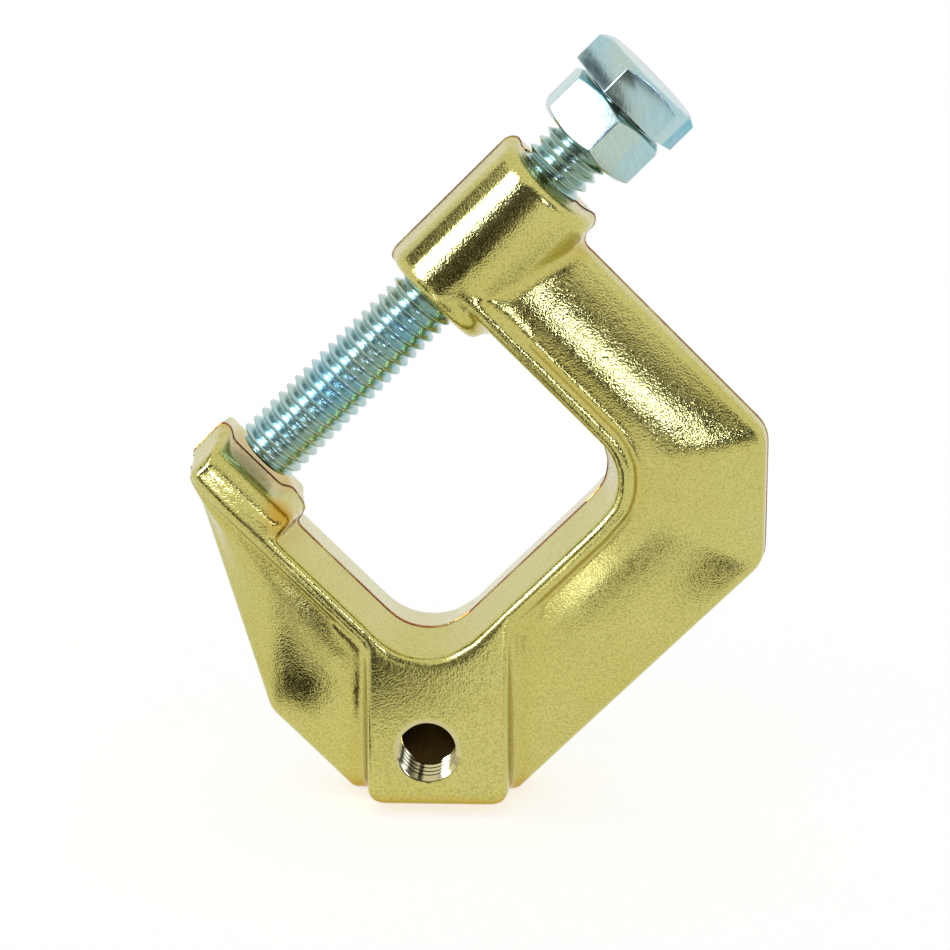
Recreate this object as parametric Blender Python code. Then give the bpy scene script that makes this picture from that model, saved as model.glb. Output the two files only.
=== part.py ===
# A forged brass screw clamp for earthing leads, in the shape of a C turned by 45 degrees.
# The C stands in the XZ plane, its thickness runs along Y, and the front looks towards -Y.
# The origin is the middle of the floor of the jaw seat. Lengths are in metres.
import math

import bmesh
import bpy
from mathutils import Vector

MM = 0.001

# Screw: a fully threaded hexagon bolt of half an inch with twelve threads to the inch.
THREAD_D = 12.6 * MM
THREAD_PITCH = 25.4 / 12 * MM
THREAD_DEPTH = 1.3 * MM
CREST_FLAT = 0.12
TIP_CHAMFER = 1.2 * MM
HEAD_AF = 20.2 * MM
HEAD_H = 6.9 * MM
HEAD_TURN = math.radians(-25.0)
NECK = 3.0 * MM
NUT_AF = 19.0 * MM
NUT_H = 9.3 * MM
NUT_LEAD = 0.7 * MM
NUT_TURN = math.radians(2.5)
HEX_CHAMFER = math.radians(30.0)
HEX_FACE_SHARE = 0.94
CLEARANCE = 0.3 * MM
# How far a cutter runs past the face that it opens.
PAST = 1.0 * MM

SCREW_TILT = math.radians(45.0)
# How far the screw's tip stands off the floor of the jaw seat, and where a turn of its thread starts.
REST_GAP = 2.05 * MM
TURN_START = 1.4 * MM

# Frame: a rim round the opening, a sloping web outside it, and a thin outer edge.
FRAME_HALF = 14.0 * MM
RIM_STEP = 0.2 * MM
DRAFT = math.radians(7.0)
SEAT_TO_ARM = 4.7 * MM
THROAT = 48.3 * MM
OPENING = 53.6 * MM
ARM_UPPER = 21.0 * MM
ARM_LOWER = 28.3 * MM
ARM_LEFT = 26.6 * MM
CORNER_BOTTOM = 12.0 * MM
CORNER_RIGHT = 10.0 * MM
RIM_WIDTH = 3.1 * MM
RIM_ROUND = 0.8 * MM
RIM_SHOULDER = 1.4 * MM
RIM_FOOT = 1.1 * MM
SHOULDER_END = 10.0
FOOT_END = 260.0
EDGE_HALF = 0.386 * FRAME_HALF
EDGE_ROUND = 1.1 * MM
RIB_SHORTEST = 7.6 * MM
WEB_POWER = 1.6
WEB_LIFT = 0.6 * MM

# Outer edge: distances along the screw axis and across it, from the floor of the seat.
ARM_END = (-9.4 * MM, -7.8 * MM)
ARM_BEND = (-10.6 * MM, -5.9 * MM)
ARM_START = (-12.1 * MM, -2.0 * MM)
SHOULDER_ACROSS = THROAT - 14.7 * MM
SHOULDER_ROUND = 4.0 * MM
CORNER_FACE = 17.2 * MM
CORNER_ROUND = 6.0 * MM
ARM_INTO_BOSS = 2.0 * MM

# Boss round the screw, a little wider on the side of the throat. Its ends are measured along the
# screw axis from the floor of the seat, and so is the underside of the screw's head.
BOSS_OUTER = 10.2 * MM
BOSS_INNER = 11.6 * MM
BOSS_FLANK = 0.357 * FRAME_HALF
BOSS_END = 1.8 * MM
BOSS_PROUD = 5.2 * MM
BOSS_LENGTH = 31.2 * MM
BOSS_NEAR = OPENING - SEAT_TO_ARM - BOSS_PROUD
BOSS_FAR = BOSS_NEAR + BOSS_LENGTH
HEAD_UNDER = BOSS_FAR + 16.8 * MM

# Cable block at the bottom, with its cable bore and the tapped hole of the cable screw. Both are
# placed from the middle of the throat's bottom corner.
CORNER_X = (THROAT - SEAT_TO_ARM) * math.sin(SCREW_TILT)
CORNER_Z = (2 * CORNER_BOTTOM - SEAT_TO_ARM - THROAT) * math.cos(SCREW_TILT)
BLOCK_FLOOR = CORNER_Z - 41.2 * MM
HOLE_X = CORNER_X + 0.2 * MM
BLOCK_TOP_TURN = 35.0
BLOCK_INSIDE_RIM = 0.4 * MM
BLOCK_W = 28.4 * MM
BLOCK_OFFSET = 1.8 * MM
BLOCK_EDGE = 1.1 * MM
BLOCK_CORNER = 4.0 * MM
CABLE_D = 13.4 * MM
CABLE_DEPTH = 23.0 * MM
DRILL_POINT = math.radians(59.0)
TAPPED_D = 12.0 * MM
TAPPED_CORE_D = 10.4 * MM
TAPPED_RISE = 12.2 * MM

# Anvil head at the end of the left arm, with the trough that takes the rod.
SEAT_HALF = 6.2 * MM
SEAT_LIP = 1.3 * MM
LIP_SLOPE = 1.2 * MM
LIP_ROUND = 0.8 * MM
ANVIL_LEFT = 9.7 * MM
ANVIL_RIGHT = 13.3 * MM
ANVIL_LOW = 6.8 * MM
ANVIL_DEEP = 7.4 * MM
ANVIL_TOP_ROUND = 0.214 * FRAME_HALF
ANVIL_SIDE_ROUND = 1.3 * MM

AXIS = Vector((math.sin(SCREW_TILT), 0.0, math.cos(SCREW_TILT)))
ACROSS = Vector((math.cos(SCREW_TILT), 0.0, -math.sin(SCREW_TILT)))


def clear_scene():
    for obj in list(bpy.data.objects):
        bpy.data.objects.remove(obj, do_unlink=True)


def material(name, colour, metallic, roughness):
    mat = bpy.data.materials.new(name)
    mat.use_nodes = True
    shader = mat.node_tree.nodes["Principled BSDF"]
    shader.inputs["Base Color"].default_value = (*colour, 1.0)
    shader.inputs["Metallic"].default_value = metallic
    shader.inputs["Roughness"].default_value = roughness
    mat.diffuse_color = (*colour, 1.0)
    return mat


def add_object(name, bm):
    bmesh.ops.recalc_face_normals(bm, faces=bm.faces[:])
    mesh = bpy.data.meshes.new(name)
    bm.to_mesh(mesh)
    bm.free()
    obj = bpy.data.objects.new(name, mesh)
    bpy.context.scene.collection.objects.link(obj)
    return obj


def tool(name, bm):
    """A helper solid that joins or cuts another one and isn't part of the object."""
    obj = add_object(name, bm)
    obj.hide_render = True
    obj.display_type = "WIRE"
    return obj


def boolean(obj, other, operation):
    modifier = obj.modifiers.new(other.name, "BOOLEAN")
    modifier.operation = operation
    modifier.solver = "EXACT"
    modifier.object = other


def finish(obj, mat, sharp):
    """Turns the modifiers into one mesh, then shades it smooth with its sharp edges kept."""
    graph = bpy.context.evaluated_depsgraph_get()
    mesh = bpy.data.meshes.new_from_object(obj.evaluated_get(graph))
    obj.modifiers.clear()
    obj.data = mesh
    mesh.name = obj.name
    mesh.materials.clear()
    mesh.materials.append(mat)
    mesh.shade_smooth()
    mesh.set_sharp_from_angle(angle=sharp)


def remove_tools():
    for obj in list(bpy.data.objects):
        if obj.hide_render:
            bpy.data.objects.remove(obj, do_unlink=True)


def loft(bm, rows):
    """Skins closed rows of the same count of points, and closes both ends."""
    rings = [[bm.verts.new(point) for point in row] for row in rows]
    for low, high in zip(rings, rings[1:]):
        for i in range(len(low)):
            j = (i + 1) % len(low)
            bm.faces.new((low[i], low[j], high[j], high[i]))
    bm.faces.new(rings[0][::-1])
    bm.faces.new(rings[-1])
    return rings


def lathe(profile, segments):
    """A solid of revolution round Z from (radius, height) pairs, first and last on the axis."""
    bm = bmesh.new()
    base = bm.verts.new((0.0, 0.0, profile[0][1]))
    top = bm.verts.new((0.0, 0.0, profile[-1][1]))
    rings = []
    for radius, height in profile[1:-1]:
        ring = []
        for i in range(segments):
            turn = 2 * math.pi * i / segments
            point = (radius * math.cos(turn), radius * math.sin(turn), height)
            ring.append(bm.verts.new(point))
        rings.append(ring)
    for i in range(segments):
        j = (i + 1) % segments
        bm.faces.new((base, rings[0][j], rings[0][i]))
        bm.faces.new((top, rings[-1][i], rings[-1][j]))
        for low, high in zip(rings, rings[1:]):
            bm.faces.new((low[i], low[j], high[j], high[i]))
    return bm


def arc(centre, radius, start, end, steps):
    """Points on an arc in a plane, with both ends. Angles are in degrees."""
    points = []
    for i in range(steps + 1):
        turn = math.radians(start + (end - start) * i / steps)
        points.append((centre[0] + radius * math.cos(turn), centre[1] + radius * math.sin(turn)))
    return points


def rounded(points, radii, steps):
    """A closed outline with each corner turned into an arc of its own radius."""
    out = []
    for i, corner in enumerate(points):
        corner = Vector(corner)
        before = (Vector(points[i - 1]) - corner).normalized()
        after = (Vector(points[(i + 1) % len(points)]) - corner).normalized()
        half = before.angle(after) / 2
        if radii[i] == 0:
            out.append(tuple(corner))
            continue
        reach = radii[i] / math.tan(half)
        centre = corner + (before + after).normalized() * radii[i] / math.sin(half)
        first = corner + before * reach - centre
        last = corner + after * reach - centre
        for k in range(steps + 1):
            out.append(tuple(centre + first.slerp(last, k / steps) * radii[i]))
    return out


def place(along, across, y=0.0):
    """A point from its distance along the screw axis, its distance across it, and its depth."""
    return AXIS * along + ACROSS * across + Vector((0.0, y, 0.0))


# Frame


def inner_foot(point):
    """The nearest point of the rim's inner edge to a point outside it."""
    left = -SEAT_TO_ARM
    right = left + OPENING
    along, across = point
    bottom = (left + CORNER_BOTTOM, THROAT - CORNER_BOTTOM)
    corner = (right - CORNER_RIGHT, THROAT - CORNER_RIGHT)
    if across <= bottom[1] and along < left + CORNER_BOTTOM:
        return (left, across)
    if across <= corner[1] and along > right - CORNER_RIGHT:
        return (right, across)
    if bottom[0] <= along <= corner[0]:
        return (along, THROAT)
    centre, radius = (bottom, CORNER_BOTTOM) if along < bottom[0] else (corner, CORNER_RIGHT)
    away = Vector((along - centre[0], across - centre[1])).normalized()
    return (centre[0] + away.x * radius, centre[1] + away.y * radius)


def outer_outline():
    """The frame's outer edge on the parting plane, from the anvil round to the boss."""
    left = -SEAT_TO_ARM - ARM_LEFT
    base = THROAT + ARM_LOWER
    right = OPENING - SEAT_TO_ARM + ARM_UPPER
    # The bottom is level, and height is (along - across) * sin(45).
    level = (BLOCK_FLOOR + WEB_LIFT) / math.sin(SCREW_TILT)
    shoulder = (left, SHOULDER_ACROSS)
    foot_left = (left, left - level)
    foot_right = (base + level, base)
    face_low = (right - CORNER_FACE, base)
    face_high = (right, base - CORNER_FACE)
    upper_end = (right, ARM_INTO_BOSS)
    outline = [ARM_END, ARM_BEND, ARM_START]
    outline += [lerp(ARM_START, shoulder, k / 6) for k in range(1, 6)]
    outline += corner_arc(ARM_START, shoulder, foot_left, SHOULDER_ROUND, 3)
    outline += [lerp(shoulder, foot_left, k / 4) for k in range(1, 4)]
    outline += [lerp(foot_left, foot_right, k / 4) for k in range(0, 5)]
    outline += [lerp(foot_right, face_low, k / 4) for k in range(1, 4)]
    outline += corner_arc(foot_right, face_low, face_high, CORNER_ROUND, 4)
    outline += [lerp(face_low, face_high, k / 4) for k in range(1, 4)]
    outline += corner_arc(face_low, face_high, upper_end, CORNER_ROUND, 4)
    outline += [lerp(outline[-1], upper_end, k / 7) for k in range(1, 8)]
    return outline


def lerp(a, b, share):
    return (a[0] + (b[0] - a[0]) * share, a[1] + (b[1] - a[1]) * share)


def corner_arc(before, corner, after, radius, steps):
    triple = rounded([before, corner, after], [0, radius, 0], steps)
    return triple[1:-1]


def rib(length):
    """The frame's half section as (distance out from the rim's inner edge, depth) pairs.

    A section shorter than RIB_SHORTEST is that one squeezed.
    """
    squeeze = min(1.0, length / RIB_SHORTEST)
    length = length / squeeze
    top = FRAME_HALF - RIM_STEP
    foot = top - RIM_SHOULDER - RIM_FOOT
    lean = math.tan(DRAFT)
    inner = (-lean * top, 0.0)
    points = [inner, lerp(inner, (0.0, top), 0.5)]
    points += corner_arc(inner, (0.0, top), (RIM_WIDTH, top), RIM_ROUND, 2)
    points += arc((RIM_WIDTH - RIM_SHOULDER, top - RIM_SHOULDER), RIM_SHOULDER, 90.0, SHOULDER_END, 2)
    points += arc((RIM_WIDTH + RIM_FOOT, foot + RIM_FOOT), RIM_FOOT, 180.0 + SHOULDER_END, FOOT_END, 2)
    edge = length - lean * EDGE_HALF
    start = RIM_WIDTH + 1.5 * RIM_FOOT
    for k in range(7):
        share = k / 6
        depth = foot - (foot - EDGE_HALF) * share**WEB_POWER
        points.append((start + (edge - EDGE_ROUND - start) * share, depth))
    points.append((edge - 0.3 * EDGE_ROUND, EDGE_HALF - 0.45 * EDGE_ROUND))
    points.append((edge + lean * EDGE_ROUND, EDGE_HALF - 1.3 * EDGE_ROUND))
    points.append((length, 0.0))
    return [(distance * squeeze, depth) for distance, depth in points]


def frame_loop():
    bm = bmesh.new()
    rows = []
    for outer in outer_outline():
        inner = inner_foot(outer)
        away = Vector((outer[0] - inner[0], outer[1] - inner[1]))
        length = away.length
        away.normalize()
        half = rib(length)
        front = [(d, -y) for d, y in half]
        back = [(d, y) for d, y in half[-2:0:-1]]
        row = []
        for d, y in front + back:
            row.append(place(inner[0] + away.x * d, inner[1] + away.y * d, y))
        rows.append(row)
    loft(bm, rows)
    return bm


def prism(outline, half, lean, edge, to_point):
    """A solid standing out both ways from the parting plane, with draft and rounded edges."""
    levels = [(0.0, 0.0), (half - edge, lean * (half - edge))]
    for turn in (30.0, 60.0, 90.0):
        rise = edge * math.sin(math.radians(turn))
        inset = edge * (1 - math.cos(math.radians(turn)))
        levels.append((half - edge + rise, lean * (half - edge) + inset))
    rows = []
    for depth, inset in [(-y, i) for y, i in levels[:0:-1]] + levels:
        rows.append([to_point(*q, depth) for q in shrunk(outline, inset)])
    bm = bmesh.new()
    loft(bm, rows)
    return bm


def shrunk(outline, inset):
    """The outline moved inwards by the inset, point by point along the mean of its normals."""
    out = []
    count = len(outline)
    area = sum(
        outline[i - 1][0] * outline[i][1] - outline[i][0] * outline[i - 1][1] for i in range(count)
    )
    side = 1.0 if area > 0 else -1.0
    for i in range(count):
        here = Vector(outline[i])
        before = (here - Vector(outline[i - 1])).normalized()
        after = (Vector(outline[(i + 1) % count]) - here).normalized()
        normal = Vector((-(before.y + after.y), before.x + after.x)) * side
        normal.normalize()
        stretch = max(normal.dot(Vector((-after.y, after.x)) * side), 0.5)
        out.append(tuple(here + normal * inset / stretch))
    return out


def boss_quarter(half):
    """A quarter of the boss's section as (distance across, depth) pairs."""
    shoulder = half - math.tan(DRAFT) * BOSS_FLANK
    nose = FRAME_HALF - BOSS_FLANK
    quarter = [(half, 0.0), (shoulder, BOSS_FLANK)]
    for k in range(1, 6):
        turn = math.radians(90.0 * k / 6)
        quarter.append((shoulder * math.cos(turn), BOSS_FLANK + nose * math.sin(turn)))
    quarter.append((0.0, FRAME_HALF))
    return quarter


def boss():
    """The barrel round the screw: flanks with draft, then a round nose at the front and back."""
    inner = boss_quarter(BOSS_INNER)
    outer = [(-w, y) for w, y in boss_quarter(BOSS_OUTER)]
    half = inner + outer[-2::-1]
    ring = half + [(w, -y) for w, y in half[-2:0:-1]]
    steps = (0.0, 30.0, 60.0, 90.0)
    rows = []
    for turn in [math.radians(t) for t in steps]:
        low = BOSS_NEAR + BOSS_END * (1 - math.cos(turn))
        rows.append((low, BOSS_END * (1 - math.sin(turn)), math.tan(DRAFT)))
    for turn in [math.radians(t) for t in steps[::-1]]:
        high = BOSS_FAR - BOSS_END * (1 - math.cos(turn))
        rows.append((high, BOSS_END * (1 - math.sin(turn)), -math.tan(DRAFT)))
    bm = bmesh.new()
    loft(bm, [[place(a + d * abs(y), w, y) for w, y in shrunk(ring, i)] for a, i, d in rows])
    return bm


def anvil():
    """The head that faces the screw tip, its trough running from front to back.

    Towards the front and back its top comes down and its two ends draw in.
    """
    lip = SEAT_LIP
    corners = [
        (0.0, -SEAT_HALF),
        (lip, -SEAT_HALF - LIP_SLOPE),
        (lip, -ANVIL_LEFT),
        (-ANVIL_LOW, -ANVIL_LEFT),
        (-ANVIL_DEEP, -SEAT_HALF),
        (-ANVIL_DEEP, 0.0),
        (-ANVIL_LOW, ANVIL_RIGHT),
        (lip / 4, ANVIL_RIGHT - LIP_SLOPE),
        (lip, SEAT_HALF + LIP_SLOPE),
        (0.0, SEAT_HALF),
    ]
    radii = [0.0, LIP_ROUND, LIP_ROUND, 0.0, 0.0, 0.0, 0.0, 2 * LIP_ROUND, LIP_ROUND, 0.0]
    outline = rounded(corners, radii, 3)
    half = FRAME_HALF - 2 * RIM_STEP
    lean = math.tan(DRAFT)
    flat = half - ANVIL_TOP_ROUND
    levels = [(0.0, 0.0), (flat, 0.0)]
    for share in (0.25, 0.5, 0.75, 1.0):
        # Steeper than a quarter circle where it starts, so that the edge of the top shows.
        levels.append((flat + ANVIL_TOP_ROUND * share**0.8, share))
    bm = bmesh.new()
    rows = []
    for depth, bend in [(-y, bend) for y, bend in levels[:0:-1]] + levels:
        inwards = lean * min(abs(depth), flat) + ANVIL_SIDE_ROUND * bend**2
        row = []
        for along, across in outline:
            # The lips have draft and the floor has none. Only what stands above the arm bends down.
            lip_share = max(0.0, along / lip)
            above = min(1.0, max(0.0, 1 + along / ANVIL_LOW))
            down = lean * min(abs(depth), flat) * lip_share + ANVIL_TOP_ROUND * bend**1.25 * above
            row.append(place(along - down, across * (1 - inwards / ANVIL_LEFT), depth))
        rows.append(row)
    loft(bm, rows)
    return bm


def block():
    """The cable block, flush with the rim at the front and back, its top inside the rim."""
    left = HOLE_X + BLOCK_OFFSET - BLOCK_W / 2
    right = HOLE_X + BLOCK_OFFSET + BLOCK_W / 2
    middle = (CORNER_X, CORNER_Z)
    reach = CORNER_BOTTOM - math.tan(DRAFT) * FRAME_HALF + BLOCK_INSIDE_RIM
    top = arc(middle, reach, 270.0 - BLOCK_TOP_TURN, 270.0 + BLOCK_TOP_TURN, 8)
    # Past its corner the rim runs at 45 degrees, and this is its height below the corner's middle.
    rise = middle[1] - reach * math.sqrt(2)
    rise_left = rise + middle[0] - left
    rise_right = rise + right - middle[0]
    floor = BLOCK_FLOOR
    corners = [(right, floor), (right, rise_right)] + top[::-1] + [(left, rise_left), (left, floor)]
    radii = [BLOCK_CORNER] + [0] * (len(corners) - 2) + [BLOCK_CORNER]
    outline = rounded(corners, radii, 4)
    lean = math.tan(DRAFT)
    return prism(outline, FRAME_HALF, lean, BLOCK_EDGE, lambda x, z, y: Vector((x, y, z)))


def along_axis(bm):
    """Turns a solid made round Z on to the screw axis, its zero on the floor of the seat."""
    for vert in bm.verts:
        x, y, z = vert.co
        vert.co = place(z, x, y)
    return bm


def screw_bore():
    radius = THREAD_D / 2 + CLEARANCE
    low = BOSS_NEAR - PAST
    high = BOSS_FAR + PAST
    return along_axis(lathe([(0, low), (radius, low), (radius, high), (0, high)], 40))


def cable_bore():
    radius = CABLE_D / 2
    top = CABLE_DEPTH
    tip = top + radius / math.tan(DRILL_POINT)
    bm = lathe([(0, -PAST), (radius, -PAST), (radius, top), (0, tip)], 40)
    bmesh.ops.translate(bm, verts=bm.verts[:], vec=(HOLE_X, 0.0, BLOCK_FLOOR))
    return bm


def tapped_hole():
    """A plain hole of the thread's core, with the chamfer at its mouth."""
    core = TAPPED_CORE_D / 2
    lead = TAPPED_D / 2 - core
    end = FRAME_HALF + PAST
    profile = [(0, 0.0), (core, 0.0), (core, FRAME_HALF - lead), (core + lead + PAST, end), (0, end)]
    bm = lathe(profile, 40)
    for vert in bm.verts:
        x, y, z = vert.co
        vert.co = Vector((HOLE_X + x, -z, BLOCK_FLOOR + TAPPED_RISE + y))
    return bm


def build_frame(mat):
    frame = add_object("clamp_frame", frame_loop())
    boolean(frame, tool("anvil", anvil()), "UNION")
    boolean(frame, tool("block", block()), "UNION")
    boolean(frame, tool("boss", boss()), "UNION")
    boolean(frame, tool("screw_bore", screw_bore()), "DIFFERENCE")
    boolean(frame, tool("cable_bore", cable_bore()), "DIFFERENCE")
    boolean(frame, tool("tapped_hole", tapped_hole()), "DIFFERENCE")
    finish(frame, mat, math.radians(28.0))
    return frame


# Screw and nut


def hexagon(size, low, high, turn, chamfer_low):
    """A hexagonal prism whose corners are turned down by a cone at one end or both."""
    corner = size / math.sqrt(3)
    bm = bmesh.new()
    rows = []
    for height in (low, high):
        row = []
        for k in range(6):
            angle = turn + math.radians(60 * k)
            row.append((corner * math.sin(angle), -corner * math.cos(angle), height))
        rows.append(row)
    loft(bm, rows)
    face = size / 2 * HEX_FACE_SHARE
    wide = corner + PAST
    fall = (wide - face) * math.tan(HEX_CHAMFER)
    profile = [(0, low), (face, low), (wide, low + fall)]
    if not chamfer_low:
        profile = [(0, low - fall), (wide, low - fall)]
    profile += [(wide, high - fall), (face, high), (0, high)]
    return bm, lathe(profile, 48)


def thread_solid(low, high, segments):
    """A helical V thread between two heights, open flats at crest and root, capped by fans."""
    outer = THREAD_D / 2
    inner = outer - THREAD_DEPTH
    flank = (1 - CREST_FLAT) / 2
    steps = [(0.0, inner), (flank, outer), (flank + CREST_FLAT, outer)]
    turns = math.ceil((high - low) / THREAD_PITCH) + 1
    count = turns * len(steps)
    bm = bmesh.new()
    grid = []
    for row in range(count + len(steps) + 1):
        share, radius = steps[row % len(steps)]
        base = (row // len(steps) + share) * THREAD_PITCH
        line = []
        for i in range(segments):
            turn = 2 * math.pi * i / segments
            z = low + base + i / segments * THREAD_PITCH
            line.append(bm.verts.new((radius * math.cos(turn), radius * math.sin(turn), z)))
        grid.append(line)
    rise = len(steps)
    for row in range(count):
        for i in range(segments - 1):
            low_a, low_b = grid[row][i], grid[row][i + 1]
            bm.faces.new((low_a, low_b, grid[row + 1][i + 1], grid[row + 1][i]))
        last = grid[row][-1]
        next_up = grid[row + 1][-1]
        bm.faces.new((last, grid[row + rise][0], grid[row + 1 + rise][0], next_up))
    bottom = [grid[0][i] for i in range(segments)]
    bottom += [grid[k][0] for k in range(rise, 0, -1)]
    top = [grid[count][i] for i in range(segments)]
    top += [grid[count + k][0] for k in range(rise, 0, -1)]
    for loop, z in ((bottom, low), (top, low + (count // rise + 1) * THREAD_PITCH)):
        hub = bm.verts.new((0, 0, z))
        for a, b in zip(loop, loop[1:] + loop[:1]):
            bm.faces.new((hub, a, b))
    loose = [vert for vert in bm.verts if not vert.link_faces]
    bmesh.ops.delete(bm, geom=loose, context="VERTS")
    return bm


def place_on_axis(obj, along):
    """Stands a piece made round Z on the screw axis, its origin at this distance along it."""
    obj.location = AXIS * along
    obj.rotation_euler = (0.0, SCREW_TILT, 0.0)


def build_screw(mat):
    """The screw's own zero is its tip. It stands REST_GAP above the floor of the seat."""
    length = HEAD_UNDER - REST_GAP
    radius = THREAD_D / 2
    root = radius - THREAD_DEPTH
    start = TURN_START - REST_GAP - 2 * THREAD_PITCH
    screw = add_object("clamp_screw", thread_solid(start, length + THREAD_PITCH, 16))
    end = radius - TIP_CHAMFER
    wide = radius + PAST
    neck = length - NECK
    shank = root + CLEARANCE
    profile = [(0, 0), (end, 0), (wide, wide - end), (wide, neck)]
    profile += [(shank, neck), (shank, length + PAST), (0, length + PAST)]
    boolean(screw, tool("screw_envelope", lathe(profile, 40)), "INTERSECT")
    prism_mesh, cone = hexagon(HEAD_AF, length, length + HEAD_H, HEAD_TURN, False)
    head = tool("screw_head", prism_mesh)
    boolean(head, tool("head_cone", cone), "INTERSECT")
    boolean(screw, head, "UNION")
    finish(screw, mat, math.radians(35.0))
    place_on_axis(screw, REST_GAP)
    return screw


def build_nut(mat):
    """The nut's own zero is its lower face. It stands just under the screw's head."""
    body, cone = hexagon(NUT_AF, 0.0, NUT_H, NUT_TURN, True)
    nut = add_object("lock_nut", body)
    boolean(nut, tool("nut_cone", cone), "INTERSECT")
    bore = THREAD_D / 2 + CLEARANCE
    wide = bore + NUT_LEAD + PAST
    profile = [(0, -PAST), (wide, -PAST), (bore, NUT_LEAD), (bore, NUT_H - NUT_LEAD)]
    profile += [(wide, NUT_H + PAST), (0, NUT_H + PAST)]
    boolean(nut, tool("nut_bore", lathe(profile, 40)), "DIFFERENCE")
    finish(nut, mat, math.radians(30.0))
    place_on_axis(nut, HEAD_UNDER - 2 * CLEARANCE - NUT_H)
    return nut


clear_scene()
brass = material("forged_brass", (0.66, 0.56, 0.14), 1.0, 0.3)
zinc = material("zinc_plated_steel", (0.52, 0.62, 0.62), 1.0, 0.28)
build_frame(brass)
build_screw(zinc)
build_nut(material("zinc_plated_nut", (0.60, 0.66, 0.66), 1.0, 0.34))
remove_tools()
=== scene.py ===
# %% [markdown]
# # A forged brass earth clamp
#
# This lesson dresses a plain solid model of a C-shaped clamp until it looks like the real one.
# The solids hold the true sizes. Here they get soft forged edges, cut threads, a parting line
# and metals with the grain of their making. Every length below is in metres.

# %% Load the solids
import math

import bmesh
import bpy
import numpy as np
from mathutils import Matrix, Vector


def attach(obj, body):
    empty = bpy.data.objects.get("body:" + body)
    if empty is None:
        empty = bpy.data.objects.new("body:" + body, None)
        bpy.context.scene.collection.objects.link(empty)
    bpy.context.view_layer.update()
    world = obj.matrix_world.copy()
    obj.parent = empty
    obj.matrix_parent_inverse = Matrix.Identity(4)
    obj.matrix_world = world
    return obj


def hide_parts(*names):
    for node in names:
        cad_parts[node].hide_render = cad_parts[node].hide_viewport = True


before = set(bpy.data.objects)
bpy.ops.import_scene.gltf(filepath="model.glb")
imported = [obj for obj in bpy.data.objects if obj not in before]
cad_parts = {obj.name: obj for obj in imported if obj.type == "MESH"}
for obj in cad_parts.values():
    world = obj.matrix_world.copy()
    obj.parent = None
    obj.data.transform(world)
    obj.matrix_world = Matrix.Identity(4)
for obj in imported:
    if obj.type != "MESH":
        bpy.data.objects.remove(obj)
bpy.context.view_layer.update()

bpy.context.scene.view_settings.view_transform = "Standard"

# %% [markdown]
# ## Sizes that the pieces share
#
# The origin is the floor of the jaw seat. The jaw screw rises from it at 45 degrees, so two
# directions are handy: along the screw, and across it towards the throat of the C.
# A piece that is round or hexagonal is made upright and laid on the screw axis afterwards.

# %% Shared sizes
MM = 0.001
TILT = math.radians(45.0)
ALONG = Vector((math.sin(TILT), 0.0, math.cos(TILT)))
ACROSS = Vector((math.cos(TILT), 0.0, -math.sin(TILT)))
ON_AXIS = Matrix.Rotation(TILT, 4, "Y")

THREAD_RADIUS = 6.3 * MM
THREAD_DEPTH = 1.3 * MM
THREAD_PITCH = 25.4 / 12 * MM
TURN_START = 1.4 * MM
TIP = 2.05 * MM
BOSS_NEAR = 43.7 * MM
BOSS_FAR = 74.9 * MM
HEAD_UNDER = 91.7 * MM
HEAD_HIGH = 6.9 * MM
HEAD_FLATS = 20.2 * MM
NUT_HIGH = 9.3 * MM
NUT_FLATS = 19.0 * MM
NUT_UNDER = HEAD_UNDER - 0.6 * MM - NUT_HIGH

FRONT = -14.0 * MM
FLOOR = -61.7 * MM
BLOCK_MIDDLE = 32.8 * MM
HOLE = Vector((31.03 * MM, FRONT, FLOOR + 12.2 * MM))
TAP_RADIUS = 6.0 * MM
CABLE_RADIUS = 6.7 * MM
CABLE_DEEP = 23.0 * MM
SCREW_HOLE_RADIUS = THREAD_RADIUS + 0.12 * MM
print("the screw runs along", [round(v, 3) for v in ALONG])

# %% [markdown]
# ## Camera
#
# The photograph was taken from close by with a long lens, so the near parts look a little
# larger than the far ones. A camera half a metre away with a 106 mm lens gives the same
# perspective. The object isn't in the middle of the picture, and a small lens shift does that
# without turning the camera.

# %% Camera
TARGET = Vector((40.0 * MM, 0.0, 6.3 * MM))
CAMERA_AWAY = 0.5
azimuth = math.radians(2.0)
elevation = math.radians(14.56)
towards_camera = Vector((
    math.sin(azimuth) * math.cos(elevation),
    -math.cos(azimuth) * math.cos(elevation),
    math.sin(elevation),
))
camera_data = bpy.data.cameras.new("camera")
camera_data.sensor_width = 36.0
camera_data.lens = 105.95
# The picture is 950 pixels wide, and a shift is a share of that width.
camera_data.shift_x = -5.0 / 950.0
camera_data.shift_y = -45.0 / 950.0
camera_data.clip_start = 0.01
camera = bpy.data.objects.new("camera", camera_data)
camera.location = TARGET + towards_camera * CAMERA_AWAY
camera.rotation_euler = (-towards_camera).to_track_quat("-Z", "Y").to_euler()
bpy.context.scene.collection.objects.link(camera)
bpy.context.scene.camera = camera
print("camera at", [round(v, 3) for v in camera.location])

# %% [markdown]
# ## Two small tools for materials
#
# Colours are easiest to note as the hex values of a picture, but the renderer works with
# linear light, so one function turns one into the other. Another adds a node and fills its
# inputs with values or with links, which keeps a material readable from top to bottom. In a
# colour mix, inputs 6 and 7 are the two colours and output 2 is the result.

# %% Colour and node tools
def linear(code, alpha=1.0):
    """The linear colour of an sRGB hex value."""
    channels = [int(code[i : i + 2], 16) / 255.0 for i in (1, 3, 5)]
    return tuple(
        c / 12.92 if c <= 0.04045 else ((c + 0.055) / 1.055) ** 2.4 for c in channels
    ) + (alpha,)


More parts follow.
